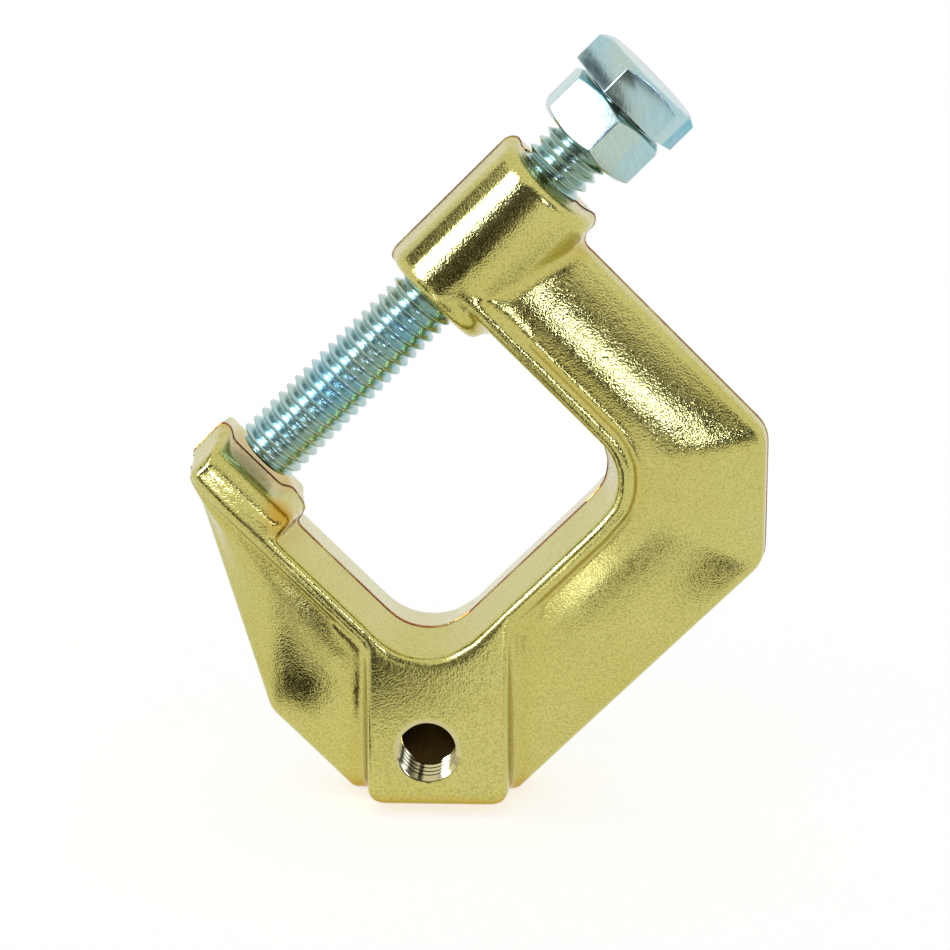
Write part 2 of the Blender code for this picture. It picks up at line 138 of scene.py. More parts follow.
def node(tree, kind, inputs=None, **settings):
    """Adds a node. Settings are its own properties, and inputs are values or sockets to link."""
    made = tree.nodes.new(kind)
    for name, value in settings.items():
        setattr(made, name, value)
    for key, value in (inputs or {}).items():
        if isinstance(value, bpy.types.NodeSocket):
            tree.links.new(value, made.inputs[key])
        else:
            made.inputs[key].default_value = value
    return made


def new_material(name):
    """An empty material with its output, ready for nodes."""
    made = bpy.data.materials.new(name)
    made.use_nodes = True
    made.node_tree.nodes.clear()
    return made, made.node_tree, made.node_tree.nodes.new("ShaderNodeOutputMaterial")


def looked_at(tree):
    """One for what the camera sees, straight or in a mirror or glass, and zero otherwise."""
    path = node(tree, "ShaderNodeLightPath")
    seen = path.outputs["Is Camera Ray"]
    for kind in ("Is Glossy Ray", "Is Transmission Ray"):
        either = node(tree, "ShaderNodeMath", {0: seen, 1: path.outputs[kind]}, operation="MAXIMUM")
        seen = either.outputs[0]
    return seen


print("#808080 is", [round(channel, 3) for channel in linear("#808080")], "in linear light")

# %% [markdown]
# ## White studio
#
# Bright metal shows its surroundings more than its own colour. The floor and the world are
# white to the camera and to reflections. The world lights the rest at a plain level, so that
# the floor still shows a soft shadow under the clamp.

# %% World and floor
WORLD_LIGHT = 0.43
FLOOR_GLOW = 0.66

world = bpy.data.worlds.new("white studio")
bpy.context.scene.world = world
world.use_nodes = True
tree = world.node_tree
tree.nodes.clear()
soft = node(tree, "ShaderNodeBackground", {"Color": linear("#FFFFFF"), "Strength": WORLD_LIGHT})
white = node(tree, "ShaderNodeBackground", {"Color": linear("#FFFFFF"), "Strength": 1.0})
mixed = node(tree, "ShaderNodeMixShader", {
    0: looked_at(tree), 1: soft.outputs[0], 2: white.outputs[0],
})
node(tree, "ShaderNodeOutputWorld", {"Surface": mixed.outputs[0]})

paper, tree, output = new_material("white paper sweep")
glow = node(tree, "ShaderNodeMath", {0: looked_at(tree), 1: FLOOR_GLOW}, operation="MULTIPLY")
sheet = node(tree, "ShaderNodeBsdfDiffuse", {"Color": linear("#E6E6E6")})
light = node(tree, "ShaderNodeEmission", {"Color": linear("#FFFFFF"), "Strength": glow.outputs[0]})
both = node(tree, "ShaderNodeAddShader", {0: sheet.outputs[0], 1: light.outputs[0]})
tree.links.new(both.outputs[0], output.inputs["Surface"])

bm = bmesh.new()
bmesh.ops.create_grid(bm, x_segments=1, y_segments=1, size=3.0)
bmesh.ops.translate(bm, verts=bm.verts[:], vec=(0.0, 0.0, FLOOR - 0.3 * MM))
mesh = bpy.data.meshes.new("floor")
bm.to_mesh(mesh)
bm.free()
floor = bpy.data.objects.new("floor", mesh)
mesh.materials.append(paper)
bpy.context.scene.collection.objects.link(floor)
print("floor at", round(FLOOR * 1000, 1), "mm")

# %% [markdown]
# ## Dark cards and softboxes
#
# A photographer gives bright metal its form with dark cards that only reflections can see. One
# stands behind the camera, one faces the boss from the upper left, one leans before the tapped
# hole, and others lie on the table in front of the clamp. They are mottled, so each grain of
# the brass picks a dark or a bright spot of them, and the edge of a dark zone breaks up into
# speckles. Small ones close to the clamp draw the short dark streaks on its webs.
#
# Two softboxes put the white bands on the boss and on the upper arm, a small lamp gives the
# anvil its bright spot, and two more light the thread in the tapped hole. They too show only in
# the metal. Their light is bluish, because yellow brass mirrors such a light as white.

# %% Cards
card_brown, tree, output = new_material("dark brown card")
where = node(tree, "ShaderNodeTexCoord").outputs["Object"]
cloth = node(tree, "ShaderNodeTexNoise", {
    "Vector": where, "Scale": 40.0, "Detail": 6.0, "Roughness": 0.75,
})
holes = node(tree, "ShaderNodeMapRange", {
    "Value": cloth.outputs["Fac"], "From Min": 0.53, "From Max": 0.60,
})
card = node(tree, "ShaderNodeBsdfDiffuse", {"Color": linear("#2A2414")})
gap = node(tree, "ShaderNodeEmission", {"Color": linear("#FFFFFF"), "Strength": 0.8})
woven = node(tree, "ShaderNodeMixShader", {
    0: holes.outputs[0], 1: card.outputs[0], 2: gap.outputs[0],
})
tree.links.new(woven.outputs[0], output.inputs["Surface"])


def reflected_card(name, centre, wide, high, turn=Matrix.Identity(4), surface=card_brown):
    """A card with its place and turn in its mesh, which only reflections see."""
    bm = bmesh.new()
    bmesh.ops.create_grid(bm, x_segments=1, y_segments=1, size=0.5)
    bmesh.ops.scale(bm, vec=(wide, high, 1.0), verts=bm.verts[:])
    bmesh.ops.transform(bm, matrix=Matrix.Translation(centre) @ turn, verts=bm.verts[:])
    mesh = bpy.data.meshes.new(name)
    bm.to_mesh(mesh)
    bm.free()
    mesh.materials.append(surface)
    made = bpy.data.objects.new(name, mesh)
    bpy.context.scene.collection.objects.link(made)
    made.visible_camera = False
    made.visible_diffuse = False
    made.visible_shadow = False


upright = Matrix.Rotation(math.radians(90), 4, "X")
reflected_card("card_behind_camera", (0.30, -1.00, 0.345), 2.60, 0.73, upright)
reflected_card("card_left", (-0.20, -0.30, FLOOR + 1 * MM), 0.45, 0.40)
reflected_card("card_far", (-0.16, -0.72, FLOOR + 2 * MM), 0.32, 0.56)
BOSS_MIDDLE = ALONG * (BOSS_NEAR + BOSS_FAR) / 2
above_left = Vector((-0.83, 0.13, 0.545))
facing = above_left.to_track_quat("Z", "Y").to_matrix().to_4x4()
reflected_card("card_above_left", BOSS_MIDDLE + above_left * 0.45, 0.34, 0.09, facing)
before_hole = Vector((0.0, -0.776, 0.63))
facing = before_hole.to_track_quat("Z", "Y").to_matrix().to_4x4()
reflected_card("card_before_hole", HOLE + before_hole * 0.12, 0.045, 0.06, facing)
reflected_card("card_middle", (0.008, -0.132, FLOOR + 3 * MM), 0.044, 0.14)

card_black, tree, output = new_material("black paper")
paper_black = node(tree, "ShaderNodeBsdfDiffuse", {"Color": linear("#1C180C")})
tree.links.new(paper_black.outputs[0], output.inputs["Surface"])
slanted = Matrix.Rotation(math.radians(-32), 4, "Z")
reflected_card("card_streak", (0.092, -0.078, FLOOR + 1 * MM), 0.036, 0.013, slanted, card_black)
reflected_card("card_patch", (0.114, -0.046, FLOOR + 1 * MM), 0.015, 0.019, surface=card_black)
reflected_card("card_web", (-0.018, -0.059, FLOOR + 1 * MM), 0.036, 0.011, slanted, card_black)
reflected_card("card_web_low", (-0.014, -0.027, FLOOR + 1 * MM), 0.026, 0.018)

# A white one close to the anvil keeps the dark one behind the camera out of its front face.
card_white, tree, output = new_material("white bounce card")
bounce = node(tree, "ShaderNodeEmission", {"Color": linear("#FFFFFF"), "Strength": 1.0})
tree.links.new(bounce.outputs[0], output.inputs["Surface"])
reflected_card("card_at_anvil", (0.008, -0.063, 0.001), 0.048, 0.040, upright, card_white)


# %% Softboxes
LAMP_BLUE = (0.60, 0.66, 1.0)
SOFTBOX_AWAY = 0.8
HOLE_LAMP_AWAY = 0.05


def softbox(name, centre, wide, high, strength, at):
    """A lamp that shines at a point. Its strength is the brightness of its face."""
    data = bpy.data.lights.new(name, "AREA")
    data.color = LAMP_BLUE
    data.shape = "RECTANGLE"
    data.size = wide
    data.size_y = high
    data.energy = strength * math.pi * wide * high
    lamp = bpy.data.objects.new(name, data)
    lamp.location = centre
    lamp.rotation_euler = (Vector(at) - Vector(centre)).to_track_quat("-Z", "Y").to_euler()
    lamp.visible_diffuse = False
    lamp.visible_camera = False
    bpy.context.scene.collection.objects.link(lamp)
    print(name, "gives", round(data.energy, 2), "W")
    return lamp


left_way = Vector((-0.71, -0.563, 0.424)).normalized()
right_way = Vector((0.49, -0.845, 0.215)).normalized()
ARM_MIDDLE = ALONG * 57.0 * MM + ACROSS * 30.0 * MM
softbox("softbox_left", BOSS_MIDDLE + left_way * SOFTBOX_AWAY, 0.30, 0.46, 16.0, BOSS_MIDDLE)
softbox("softbox_right", ARM_MIDDLE + right_way * SOFTBOX_AWAY, 0.20, 0.05, 24.0, ARM_MIDDLE)

ANVIL = Vector((-6.5, -13.5, 1.0)) * MM
before_anvil = ANVIL + Vector((0.09, -0.99, -0.03)) * 0.04 + Vector((-0.3, 0.0, 2.6)) * MM
softbox("anvil_lamp", before_anvil, 0.0050, 0.0042, 45.0, ANVIL)

for name, side in (("hole_lamp_right", 1.0), ("hole_lamp_left", -1.0)):
    beside_hole = HOLE + Vector((side * 0.65, -0.70, 0.29)) * HOLE_LAMP_AWAY
    softbox(name, beside_hole, 0.012, 0.012, 2.5, HOLE)

# %% [markdown]
# ## Forged brass
#
# The frame is hot-forged brass. After forging it is shot-blasted and bright-dipped, which
# leaves a shiny skin with a fine grain like orange peel, about a third of a millimetre across.
# Where a bright reflection meets a dark one, that grain breaks the edge into speckles. So the
# material is a smooth metal with a bump of noise at that size, wider dents from the shot, a
# painted warmer and darker tone in the fillets for their shade and for brass mirroring brass,
# and a brown stain along the parting line where the flash was trimmed off.

# %% Forged brass
forged_brass, tree, output = new_material("forged brass, shot-blasted and bright-dipped")
where = node(tree, "ShaderNodeTexCoord").outputs["Object"]
# The grain is 0.35 mm across, the dents of the shot are 1.3 mm, and the clouds 15 mm.
grain = node(tree, "ShaderNodeTexNoise", {
    "Vector": where, "Scale": 2900.0, "Detail": 1.5, "Roughness": 0.5,
})
dents = node(tree, "ShaderNodeTexNoise", {
    "Vector": where, "Scale": 750.0, "Detail": 1.0, "Roughness": 0.5,
})
cloud = node(tree, "ShaderNodeTexNoise", {
    "Vector": where, "Scale": 65.0, "Detail": 3.0, "Roughness": 0.6,
})
patch = node(tree, "ShaderNodeTexNoise", {
    "Vector": where, "Scale": 160.0, "Detail": 2.0, "Roughness": 0.5,
})
tone = node(tree, "ShaderNodeMix", {
    "Factor": cloud.outputs["Fac"], 6: linear("#C3BB64"), 7: linear("#D0C97F"),
}, data_type="RGBA")
# The pits of the grain hold a darker skin.
pits = node(tree, "ShaderNodeMapRange", {
    "Value": grain.outputs["Fac"], "From Min": 0.34, "From Max": 0.56, "To Min": 0.34,
    "To Max": 0.0,
})
pitted = node(tree, "ShaderNodeMix", {
    "Factor": pits.outputs[0], 6: tone.outputs[2], 7: linear("#84782C"),
}, data_type="RGBA")
# A warmer, darker ochre is painted into the fillets through ambient occlusion: painted shade, and
# painted light of brass mirroring brass.
closed = node(tree, "ShaderNodeAmbientOcclusion", {"Distance": 5.0 * MM}, samples=6)
warm = node(tree, "ShaderNodeMapRange", {
    "Value": closed.outputs["AO"], "From Min": 0.60, "From Max": 0.96, "To Min": 0.90,
    "To Max": 0.0,
})
crease_painted_tone = node(tree, "ShaderNodeMix", {
    "Factor": warm.outputs[0], 6: pitted.outputs[2], 7: linear("#B99A32"),
}, data_type="RGBA")
# A warmer ochre spot lies at the foot of the anvil, full within 2 mm of one point and gone at 4.6
# mm.
from_anvil_foot = node(tree, "ShaderNodeVectorMath", {
    0: where, 1: (4.6 * MM, -10.5 * MM, -7.0 * MM),
}, operation="DISTANCE")
anvil_foot_ochre = node(tree, "ShaderNodeMapRange", {
    "Value": from_anvil_foot.outputs["Value"], "From Min": 2.0 * MM, "From Max": 4.6 * MM, "To Min": 0.85,
    "To Max": 0.0,
})
crease_painted_tone = node(tree, "ShaderNodeMix", {
    "Factor": anvil_foot_ochre.outputs[0], 6: crease_painted_tone.outputs[2], 7: linear("#C39A34"),
}, data_type="RGBA")
# The stain on the parting line is 0.6 mm wide, fades out over 2 mm, and lies where y is zero.
split = node(tree, "ShaderNodeSeparateXYZ", {0: where})
off = node(tree, "ShaderNodeMath", {0: split.outputs["Y"]}, operation="ABSOLUTE")
line = node(tree, "ShaderNodeMapRange", {
    "Value": off.outputs[0], "From Min": 0.3 * MM, "From Max": 1.0 * MM, "To Min": 1.0,
    "To Max": 0.0,
})
worn = node(tree, "ShaderNodeMapRange", {
    "Value": patch.outputs["Fac"], "From Min": 0.30, "From Max": 0.55,
})
stain = node(tree, "ShaderNodeMath", {0: line.outputs[0], 1: worn.outputs[0]}, operation="MULTIPLY")
coloured = node(tree, "ShaderNodeMix", {
    "Factor": stain.outputs[0], 6: crease_painted_tone.outputs[2], 7: linear("#985A18"),
}, data_type="RGBA")
rough = node(tree, "ShaderNodeMapRange", {
    "Value": dents.outputs["Fac"], "From Min": 0.3, "From Max": 0.7, "To Min": 0.09,
    "To Max": 0.17,
})
slow = node(tree, "ShaderNodeBump", {
    "Height": dents.outputs["Fac"], "Strength": 1.0, "Distance": 0.024 * MM,
})
fine = node(tree, "ShaderNodeBump", {
    "Height": grain.outputs["Fac"], "Strength": 1.0, "Distance": 0.05 * MM,
    "Normal": slow.outputs[0],
})
shader = node(tree, "ShaderNodeBsdfPrincipled", {
    "Base Color": coloured.outputs[2], "Metallic": 1.0,
    "Roughness": rough.outputs[0], "Normal": fine.outputs[0],
})
tree.links.new(shader.outputs[0], output.inputs["Surface"])
print("forged brass has", len(tree.nodes), "nodes")

# %% [markdown]
# ## Cut brass
#
# The bores and the tapped hole are cut after forging, so they have no grain. They show the
# fine marks of the tool instead, a third of a millimetre apart, and the bare metal is a little
# paler. Deep in the cable bore the brass is painted dull and dark brown, as painted shade of
# the recess.

# %% Cut brass
cut_brass, tree, output = new_material("brass, drilled and tapped")
where = node(tree, "ShaderNodeTexCoord").outputs["Object"]
rings = node(tree, "ShaderNodeTexNoise", {
    "Vector": where, "Scale": 3500.0, "Detail": 2.0, "Roughness": 0.6,
})
tone = node(tree, "ShaderNodeMix", {
    "Factor": rings.outputs["Fac"], 6: linear("#BDB27A"), 7: linear("#D6CE9E"),
}, data_type="RGBA")
ringed = node(tree, "ShaderNodeBump", {
    "Height": rings.outputs["Fac"], "Strength": 0.5, "Distance": 0.008 * MM,
})
shader = node(tree, "ShaderNodeBsdfPrincipled", {
    "Base Color": tone.outputs[2], "Metallic": 1.0, "Roughness": 0.12, "Normal": ringed.outputs[0],
})
tree.links.new(shader.outputs[0], output.inputs["Surface"])
print("cut brass has", len(tree.nodes), "nodes")

# %% Cable bore brass, painted shade
# A dull dark brown brass: painted shade for deep in the cable bore.
bore_shade_brass, tree, output = new_material("brass, drilled, painted dark as bore shade")
where = node(tree, "ShaderNodeTexCoord").outputs["Object"]
bore_shade_mottle = node(tree, "ShaderNodeTexNoise", {"Vector": where, "Scale": 400.0, "Detail": 2.0})
tone = node(tree, "ShaderNodeMix", {
    "Factor": bore_shade_mottle.outputs["Fac"], 6: linear("#2E2412"), 7: linear("#57441F"),
}, data_type="RGBA")
shader = node(tree, "ShaderNodeBsdfPrincipled", {
    "Base Color": tone.outputs[2], "Metallic": 1.0, "Roughness": 0.42,
})
tree.links.new(shader.outputs[0], output.inputs["Surface"])
print("bore shade brass has", len(tree.nodes), "nodes")

# %% [markdown]
# ## Zinc plating
#
# The screw and the nut are steel with bright zinc and a blue passivation. The coat is smooth
# and a little blue-green, and it drifts between blue and a warm grey from place to place. On
# the hexagon flats the drawn bar leaves faint lines that run the same way as the screw.

# %% Zinc plating
zinc_plate, tree, output = new_material("steel, zinc-plated and blue passivated")
where = node(tree, "ShaderNodeTexCoord").outputs["Object"]
turned_to_axis = node(tree, "ShaderNodeMapping", {
    "Vector": where, "Rotation": (0.0, -TILT, 0.0), "Scale": (1.0, 1.0, 0.12),
})
drift = node(tree, "ShaderNodeTexNoise", {
    "Vector": where, "Scale": 90.0, "Detail": 2.0, "Roughness": 0.5,
})
drawn = node(tree, "ShaderNodeTexNoise", {
    "Vector": turned_to_axis.outputs[0], "Scale": 1800.0, "Detail": 3.0, "Roughness": 0.65,
})
dust = node(tree, "ShaderNodeTexNoise", {
    "Vector": where, "Scale": 1500.0, "Detail": 2.0, "Roughness": 0.6,
})
spread = node(tree, "ShaderNodeMapRange", {
    "Value": drift.outputs["Fac"], "From Min": 0.35, "From Max": 0.65,
})
tone = node(tree, "ShaderNodeMix", {
    "Factor": spread.outputs[0], 6: linear("#A8CCD2"), 7: linear("#BACCBF"),
}, data_type="RGBA")
# A deep blue is painted on one side of the head: a painted sheen of the passivation as seen at a
# grazing angle.
side = node(tree, "ShaderNodeVectorMath", {0: where, 1: ACROSS}, operation="DOT_PRODUCT")
sheen_side = node(tree, "ShaderNodeMapRange", {
    "Value": side.outputs["Value"], "From Min": 8.9 * MM, "From Max": 9.6 * MM,
})
height = node(tree, "ShaderNodeVectorMath", {0: where, 1: ALONG}, operation="DOT_PRODUCT")
on_head = node(tree, "ShaderNodeMapRange", {
    "Value": height.outputs["Value"], "From Min": HEAD_UNDER - 0.3 * MM, "From Max": HEAD_UNDER,
})
painted_blue_sheen = node(tree, "ShaderNodeMath", {
    0: sheen_side.outputs[0], 1: on_head.outputs[0],
}, operation="MULTIPLY")
tone = node(tree, "ShaderNodeMix", {
    "Factor": painted_blue_sheen.outputs[0], 6: tone.outputs[2], 7: linear("#38A6BA"),
}, data_type="RGBA")
# The drawn lines hold a trace of dirt.
dirt = node(tree, "ShaderNodeMapRange", {
    "Value": drawn.outputs["Fac"], "From Min": 0.35, "From Max": 0.6, "To Min": 0.25,
    "To Max": 0.0,
})
tone = node(tree, "ShaderNodeMix", {
    "Factor": dirt.outputs[0], 6: tone.outputs[2], 7: linear("#86A09C"),
}, data_type="RGBA")
rough = node(tree, "ShaderNodeMapRange", {
    "Value": drawn.outputs["Fac"], "To Min": 0.14, "To Max": 0.26,
})
lines = node(tree, "ShaderNodeBump", {
    "Height": drawn.outputs["Fac"], "Strength": 0.6, "Distance": 0.03 * MM,
})
grit = node(tree, "ShaderNodeBump", {
    "Height": dust.outputs["Fac"], "Strength": 0.4, "Distance": 0.02 * MM,
    "Normal": lines.outputs[0],
})
shader = node(tree, "ShaderNodeBsdfPrincipled", {
    "Base Color": tone.outputs[2], "Metallic": 1.0,
    "Roughness": rough.outputs[0], "Normal": grit.outputs[0],
})
tree.links.new(shader.outputs[0], output.inputs["Surface"])
print("zinc plating has", len(tree.nodes), "nodes")

# %% [markdown]
# ## Tools for solid pieces
#
# Turned shapes start as a profile that spins once round the Z axis. A thread is the same spin
# with a step upwards, so that each turn ends where the next one starts. Cuts are Booleans.

# %% Shape tools
def as_object(name, bm):
    """Makes a mesh object from a bmesh with its faces outwards."""
    bmesh.ops.recalc_face_normals(bm, faces=bm.faces[:])
    mesh = bpy.data.meshes.new(name)
    bm.to_mesh(mesh)
    bm.free()
    made = bpy.data.objects.new(name, mesh)
    bpy.context.scene.collection.objects.link(made)
    return made


def turned(profile, steps=96):
    """A turned solid from (radius, height) pairs that start and end on the axis."""
    bm = bmesh.new()
    points = [bm.verts.new((radius, 0.0, height)) for radius, height in profile]
    edges = [bm.edges.new(pair) for pair in zip(points, points[1:])]
    bmesh.ops.spin(
        bm, geom=points + edges, axis=(0, 0, 1), cent=(0, 0, 0),
        angle=2 * math.pi, steps=steps, use_merge=True,
    )
    bmesh.ops.remove_doubles(bm, verts=bm.verts[:], dist=0.001 * MM)
    return bm


# A tooth is a list of heights in pitches and depths in thread depths, from root to root.
ROLLED = [
    (0.0, 1.0), (0.05, 0.97), (0.42, 0.09), (0.46, 0.02), (0.5, 0.0),
    (0.54, 0.02), (0.58, 0.09), (0.95, 0.97), (1.0, 1.0),
]
TAPPED = [(0.0, 1.0), (0.14, 1.0), (0.43, 0.0), (0.57, 0.0), (0.86, 1.0), (1.0, 1.0)]


def threaded_rod(radius, depth, pitch, low, high, turn_start, tooth, steps=48):
    """A solid rod with a right-hand thread between two heights, from one spun tooth."""
    start = turn_start - 3 * pitch
    turns = math.ceil((high - start) / pitch) + 1
    bm = bmesh.new()
    points = [
        bm.verts.new((radius - depth * deep, 0.0, start + pitch * rise)) for rise, deep in tooth
    ]
    edges = [bm.edges.new(pair) for pair in zip(points, points[1:])]
    bmesh.ops.spin(
        bm, geom=points + edges, axis=(0, 0, 1), cent=(0, 0, 0), dvec=(0, 0, pitch / steps),
        angle=2 * math.pi * turns, steps=steps * turns,
    )
    bmesh.ops.remove_doubles(bm, verts=bm.verts[:], dist=0.002 * MM)
    for height, side in ((low, -1.0), (high, 1.0)):
        cut = bmesh.ops.bisect_plane(
            bm, geom=bm.verts[:] + bm.edges[:] + bm.faces[:],
            plane_co=(0, 0, height), plane_no=(0, 0, side), clear_outer=True,
        )
        rim = [piece for piece in cut["geom_cut"] if isinstance(piece, bmesh.types.BMEdge)]
        bmesh.ops.edgenet_fill(bm, edges=rim)
    return bm


def combine(target, others, operation, solver="EXACT"):
    """Applies one Boolean after the other, and removes the tools."""
    for other in others:
        cut = target.modifiers.new("cut", "BOOLEAN")
        cut.operation = operation
        cut.solver = solver
        cut.object = other
    settled(target)
    for other in others:
        bpy.data.objects.remove(other, do_unlink=True)


def settled(made):
    """Turns an object's modifiers into its mesh."""
    graph = bpy.context.evaluated_depsgraph_get()
    mesh = bpy.data.meshes.new_from_object(made.evaluated_get(graph))
    made.modifiers.clear()
    made.data = mesh
    mesh.name = made.name


def bevelled(made, width, segments, angle):
    """Rounds the edges that turn by more than an angle in degrees."""
    edge = made.modifiers.new("edge", "BEVEL")
    edge.width = width
    edge.segments = segments
    edge.limit_method = "ANGLE"
    edge.angle_limit = math.radians(angle)
    settled(made)


def coated(made, sharp, *coats):
    """Gives a piece its materials, and smooth shading but for edges past an angle in degrees."""
    made.data.materials.clear()
    for coat in coats:
        made.data.materials.append(coat)
    made.data.shade_smooth()
    made.data.set_sharp_from_angle(angle=math.radians(sharp))


def count(made):
    """How many triangles an object has."""
    return sum(len(face.vertices) - 2 for face in made.data.polygons)


def open_edges(made):
    """How many edges don't have exactly two faces, which a closed solid has none of."""
    bm = bmesh.new()
    bm.from_mesh(made.data)
    loose = sum(len(edge.link_faces) != 2 for edge in bm.edges)
    bm.free()
    return loose


print("tools ready")

# %% [markdown]
# ## The forged frame: soft edges
#
# A forging has no sharp edge: the dies round every corner and fillet every crease. The solid
# model has the right form but crisp joins. A voxel remesh turns it into one even skin, and
# relaxing that skin rounds its edges. The creases round the boss and the cable block get more
# of it, because the fillets there are larger. The holes are plugged first and cut again
# afterwards, since drilled edges stay crisp.

# %% Even skin
VOXEL = 0.6 * MM

hole_inwards = Matrix.Translation(HOLE) @ Matrix.Rotation(math.radians(-90), 4, "X")
bm = bmesh.new()
bm.from_mesh(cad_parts["clamp_frame"].data)
bmesh.ops.remove_doubles(bm, verts=bm.verts[:], dist=0.002 * MM)
for low, high, radius, matrix in (
    (BOSS_NEAR + 0.9 * MM, BOSS_FAR - 0.9 * MM, 7.0 * MM, ON_AXIS),
    (0.4 * MM, CABLE_DEEP + 5.0 * MM, 8.0 * MM, Matrix.Translation((HOLE.x, 0.0, FLOOR))),
    (0.0, -FRONT + 5.0 * MM, 7.0 * MM, hole_inwards),
):
    plug = bmesh.ops.create_cone(
        bm, cap_ends=True, segments=48, radius1=radius, radius2=radius, depth=high - low,
    )
    bmesh.ops.translate(bm, verts=plug["verts"], vec=(0, 0, (low + high) / 2))
    bmesh.ops.transform(bm, matrix=matrix, verts=plug["verts"])
brass_frame = as_object("forged_frame", bm)
skin = brass_frame.modifiers.new("even skin", "REMESH")
skin.mode = "VOXEL"
skin.voxel_size = VOXEL
settled(brass_frame)
print("the even skin has", count(brass_frame), "triangles")


# %% Relaxed edges
FLAT_RISE = 0.008 * MM
CREASE_RISE = 0.03 * MM
CREASE_RINGS = 7


def neighbours(mesh):
    """The two end points of every edge."""
    ends = np.empty(len(mesh.edges) * 2, np.int64)
    mesh.edges.foreach_get("vertices", ends)
    return ends.reshape(-1, 2)


def mean_of_neighbours(values, ends, sums):
    """The mean of what each point's neighbours hold."""
    total = np.stack([
        np.bincount(ends[:, 0], values[ends[:, 1], k], len(values))
        + np.bincount(ends[:, 1], values[ends[:, 0], k], len(values))
        for k in range(values.shape[1])
    ], axis=1)
    return total / sums[:, None]


def relax(mesh, share, rounds):
    """Moves each point half way to its neighbours' mean, times its share, a few rounds long."""
    ends = neighbours(mesh)
    points = np.empty(len(mesh.vertices) * 3)
    mesh.vertices.foreach_get("co", points)
    points = points.reshape(-1, 3)
    sums = np.maximum(np.bincount(ends.ravel(), minlength=len(points)), 1).astype(float)
    for _ in range(rounds):
        points = points + 0.5 * share[:, None] * (mean_of_neighbours(points, ends, sums) - points)
    mesh.vertices.foreach_set("co", points.ravel())
    mesh.update()
    return points, ends, sums


def hollow(mesh, points, ends, sums):
    """How concave the skin is at each point: 1 in a crease, 0 where it is flat or convex."""
    normals = np.empty(len(points) * 3, np.float32)
    mesh.vertices.foreach_get("normal", normals)
    rise = ((mean_of_neighbours(points, ends, sums) - points) * normals.reshape(-1, 3)).sum(1)
    deep = np.clip((rise - FLAT_RISE) / CREASE_RISE, 0.0, 1.0)
    for _ in range(CREASE_RINGS):
        deep = np.maximum(deep, mean_of_neighbours(deep[:, None], ends, sums)[:, 0])
    return deep


mesh = brass_frame.data
everywhere = np.ones(len(mesh.vertices))
points, ends, sums = relax(mesh, everywhere, 2)
along = points @ np.array(ALONG)
across = points @ np.array(ACROSS)
at_boss = (along > BOSS_NEAR - 2 * MM) & (across > 7 * MM) & (across < 17 * MM)
from_block = np.abs(points[:, 0] - BLOCK_MIDDLE)
beside_block = (points[:, 2] < -22 * MM) & (from_block > 11 * MM) & (from_block < 19 * MM)
for _ in range(6):
    crease = hollow(mesh, points, ends, sums)
    points, ends, sums = relax(mesh, crease * (at_boss | beside_block), 20)
points, ends, sums = relax(mesh, everywhere, 1)
print("relaxed", len(points), "points")

# %% [markdown]
# ## The parting line
#
# The two dies meet in the middle plane of the clamp. A little metal squeezes out between them
# and is trimmed off, which leaves a low ridge all round. The skin is too coarse for it, so the
# mesh is cut along four planes near the middle, and the strip between them is raised.

# %% Parting line
bm = bmesh.new()
bm.from_mesh(mesh)
for depth in (-0.45 * MM, -0.2 * MM, 0.2 * MM, 0.45 * MM):
    bmesh.ops.bisect_plane(
        bm, geom=bm.verts[:] + bm.edges[:] + bm.faces[:],
        plane_co=(0, depth, 0), plane_no=(0, 1, 0), dist=0.02 * MM,
    )
bm.normal_update()
RIDGE = 0.14 * MM
strip = [(vert, vert.normal.copy()) for vert in bm.verts if abs(vert.co.y) < 0.22 * MM]
for vert, normal in strip:
    vert.co += Vector((normal.x, 0.0, normal.z)) * RIDGE
bm.to_mesh(mesh)
bm.free()
print("raised", len(strip), "points of the parting line")

# %% [markdown]
# ## Drilling and tapping
#
# The hole through the boss, the cable bore and the tapped hole are cut into the finished skin.
# The tapped hole is cut by a threaded rod, so real thread turns are left in its wall, with a
# chamfer at the mouth.

# %% Holes
below = BOSS_NEAR - 3 * MM
above = BOSS_FAR + 3 * MM
boss_hole = as_object("boss_hole", turned([
    (0, below), (SCREW_HOLE_RADIUS, below), (SCREW_HOLE_RADIUS, above), (0, above),
]))
boss_hole.data.transform(ON_AXIS)
# The tip of a drill is a cone of 118 degrees.
cable_tip = CABLE_DEEP + CABLE_RADIUS / math.tan(math.radians(59))
cable_bore = as_object("cable_bore", turned([
    (0, -2 * MM), (CABLE_RADIUS + 2.8 * MM, -2 * MM), (CABLE_RADIUS, 0.8 * MM),
    (CABLE_RADIUS, CABLE_DEEP), (0, cable_tip),
]))
cable_bore.data.transform(Matrix.Translation((HOLE.x, 0.0, FLOOR)))
into_block = Matrix.Translation((HOLE.x, 0.0, HOLE.z)) @ Matrix.Rotation(math.radians(90), 4, "X")
tap = as_object("tap", threaded_rod(
    radius=TAP_RADIUS, depth=0.85 * MM, pitch=1.75 * MM, low=1.0 * MM, high=16.0 * MM,
    turn_start=1.0 * MM, tooth=TAPPED,
))
tap.data.transform(into_block)
mouth = as_object("mouth", turned([
    (0, 13.65 * MM), (5.45 * MM, 13.65 * MM), (8.91 * MM, 15.65 * MM), (0, 15.65 * MM),
]))
mouth.data.transform(into_block)
cutters = [boss_hole, cable_bore, tap, mouth]
print("open edges of the cutters:", [open_edges(cutter) for cutter in cutters])
combine(brass_frame, cutters, "DIFFERENCE", "MANIFOLD")

